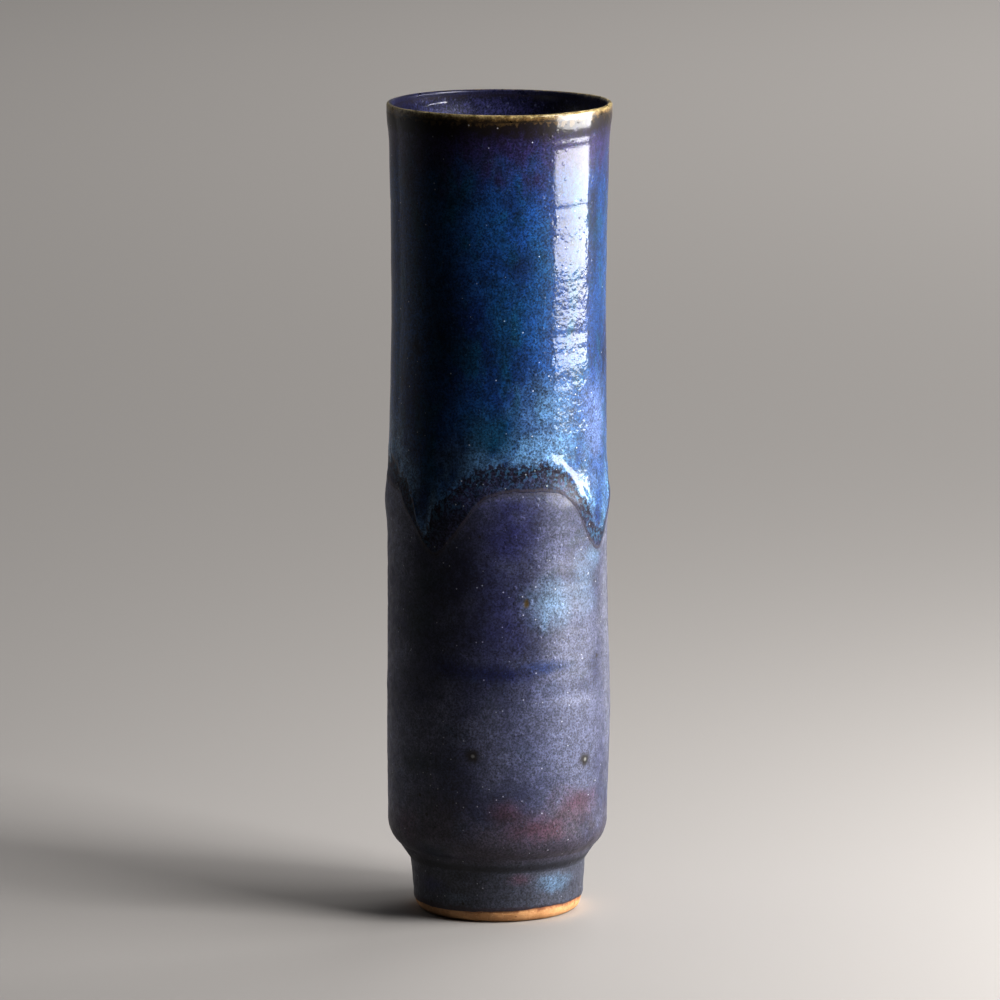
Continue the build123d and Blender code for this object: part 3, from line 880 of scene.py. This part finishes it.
clay = clay_finish()
place(make_foot(), clay, "bare_clay", "foot_ring")
place(make_lower_clay(), clay, "bare_clay", "lower_section")
place(make_upper_clay(), clay, "bare_clay", "upper_section")
place(make_liner_glaze(), liner_finish(), "liner_glaze", "liner_glaze")
place(make_lower_glaze(), lower_glaze_finish(), "lower_glaze", "lower_glaze")
place(make_overlap_glaze(), overlap_finish(), "overlap_glaze", "overlap_glaze")
place(make_upper_glaze(), upper_glaze_finish(), "upper_glaze", "upper_glaze")
place(make_rim_glaze(), rim_finish(), "rim_glaze", "rim_glaze")


# ---------------------------------------------------------------- studio
def plain_material(name, colour, roughness):
    """One even colour, for the studio."""
    material = bpy.data.materials.new(name)
    material.use_nodes = True
    shader = material.node_tree.nodes["Principled BSDF"]
    shader.inputs["Base Color"].default_value = (*colour, 1.0)
    shader.inputs["Roughness"].default_value = roughness
    return material


def make_floor():
    """A large round pale floor, just under the foot."""
    bpy.ops.mesh.primitive_circle_add(vertices=96, radius=9.0, fill_type="NGON", location=(0, 0, 0))
    floor = bpy.context.object
    floor.name = "studio_floor"
    floor.data.materials.append(plain_material("pale_floor", (0.44, 0.418, 0.400), 0.85))


def make_card():
    """A black card round the camera's side, unseen by the camera, which keeps that side dark in the glaze.

    It fades to grey at its left end."""
    turns = np.radians(np.linspace(-126, 44, 57))
    away, tall = 0.34, 1.1
    points = [(away * sin(t), -away * cos(t), z) for z in (0.002, tall) for t in turns]
    count = len(turns)
    faces = [(i, i + 1, count + i + 1, count + i) for i in range(count - 1)]
    mesh = bpy.data.meshes.new("black_card")
    mesh.from_pydata(points, [], faces)
    shade = mesh.attributes.new("shade", "FLOAT", "POINT")
    shade.data.foreach_set("value", np.tile(step(np.degrees(turns), -70, -126), 2).astype(np.float32))
    finish = Finish("black_card", Specular_IOR_Level=0.0)
    grey = finish.mix(finish.line_height("shade"), (0.003, 0.003, 0.003), (0.30, 0.30, 0.31))
    mesh.materials.append(finish.finish(grey, 0.9))
    card = bpy.data.objects.new("black_card", mesh)
    bpy.context.scene.collection.objects.link(card)
    card.visible_camera = False
    card.visible_shadow = False


def softbox(name, angle, away, low, width, tall, radiance):
    """An upright rectangular softbox of a given radiance, facing the vase from an angle round it."""
    data = bpy.data.lights.new(name, "AREA")
    data.shape = "RECTANGLE"
    data.size, data.size_y = width, tall
    data.energy = radiance * pi * width * tall
    light = bpy.data.objects.new(name, data)
    turn = radians(angle)
    light.location = (away * sin(turn), -away * cos(turn), low + tall / 2)
    light.rotation_euler = (radians(90), 0, turn)
    bpy.context.scene.collection.objects.link(light)
    return light


def make_lights():
    """Two softboxes on the right, one behind for the vase alone, a light for the floor, and the air."""
    softbox("key_softbox", angle=84.0, away=0.80, low=0.099, width=0.69, tall=0.27, radiance=20.5)
    softbox("side_softbox", angle=61, away=1.20, low=0.75, width=0.60, tall=0.60, radiance=19.0)

    # A dim light so that the vase can be read from behind.
    back = softbox("back_softbox", angle=212, away=1.60, low=0.10, width=0.90, tall=0.90, radiance=7.0)
    back.visible_glossy = False
    back.light_linking.receiver_collection = vase

    data = bpy.data.lights.new("background_light", "AREA")
    data.shape = "RECTANGLE"
    data.size, data.size_y = 4.0, 2.4
    radiance = 3.75
    data.energy = radiance * pi * data.size * data.size_y
    light = bpy.data.objects.new("background_light", data)
    light.location = (2.2, 2.6, 2.4)
    light.visible_glossy = False
    bpy.context.scene.collection.objects.link(light)

    world = bpy.data.worlds.new("studio_air")
    world.use_nodes = True
    world.node_tree.nodes["Background"].inputs["Color"].default_value = (0.98, 0.99, 1.0, 1.0)
    world.node_tree.nodes["Background"].inputs["Strength"].default_value = 0.14
    bpy.context.scene.world = world


def make_camera():
    """A long lens nearly 3 m away, looking down on the vase a little."""
    data = bpy.data.cameras.new("camera")
    data.sensor_width = 36.0
    data.lens = 285.6
    data.clip_start, data.clip_end = 0.05, 50.0
    camera = bpy.data.objects.new("camera", data)
    aside, away, high, tilt = 0.66, 2876, 643, 9.677  # millimetres, and degrees below level
    camera.location = (aside * MM, -away * MM, high * MM)
    camera.rotation_euler = (radians(90 - tilt), 0, 0)
    bpy.context.scene.collection.objects.link(camera)
    bpy.context.scene.camera = camera


def develop():
    """The tone of a studio print: plain colour, a little more contrast."""
    settings = bpy.context.scene.view_settings
    settings.view_transform = "Standard"
    settings.exposure = 0.3
    settings.gamma = 0.75


make_floor()
make_card()
make_lights()
make_camera()
develop()
